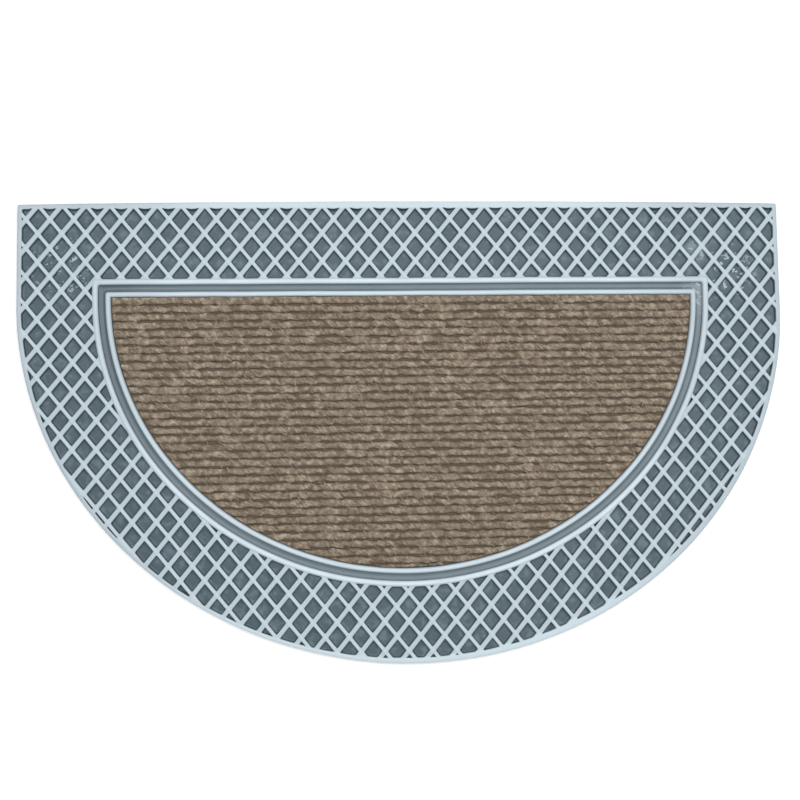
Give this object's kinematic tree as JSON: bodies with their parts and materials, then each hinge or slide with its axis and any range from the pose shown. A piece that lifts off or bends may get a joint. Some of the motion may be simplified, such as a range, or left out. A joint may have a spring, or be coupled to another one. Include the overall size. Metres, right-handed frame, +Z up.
{
  "type": "half-round doormat",
  "caption": "Half-round doormat: a moulded rubber base with a diamond lattice border and two raised beads, and a ribbed brown carpet panel set into it.",
  "frame": {"origin": "under the middle of the rectangle that the mat fits in, on the surface that the mat lies on", "axes": "+X along the straight edge, +Y in the plane of the mat towards the straight edge, +Z up out of the pile"},
  "size_m": [0.75, 0.45, 0.008],
  "materials": {
    "rubber": "slate rubber, its raised tops painted pale blue-white",
    "carpet": "heathered brown ribbed pile"
  },
  "bodies": {
    "root": {"rubber_base": "rubber", "carpet_insert": "carpet"}
  },
  "joints": []
}
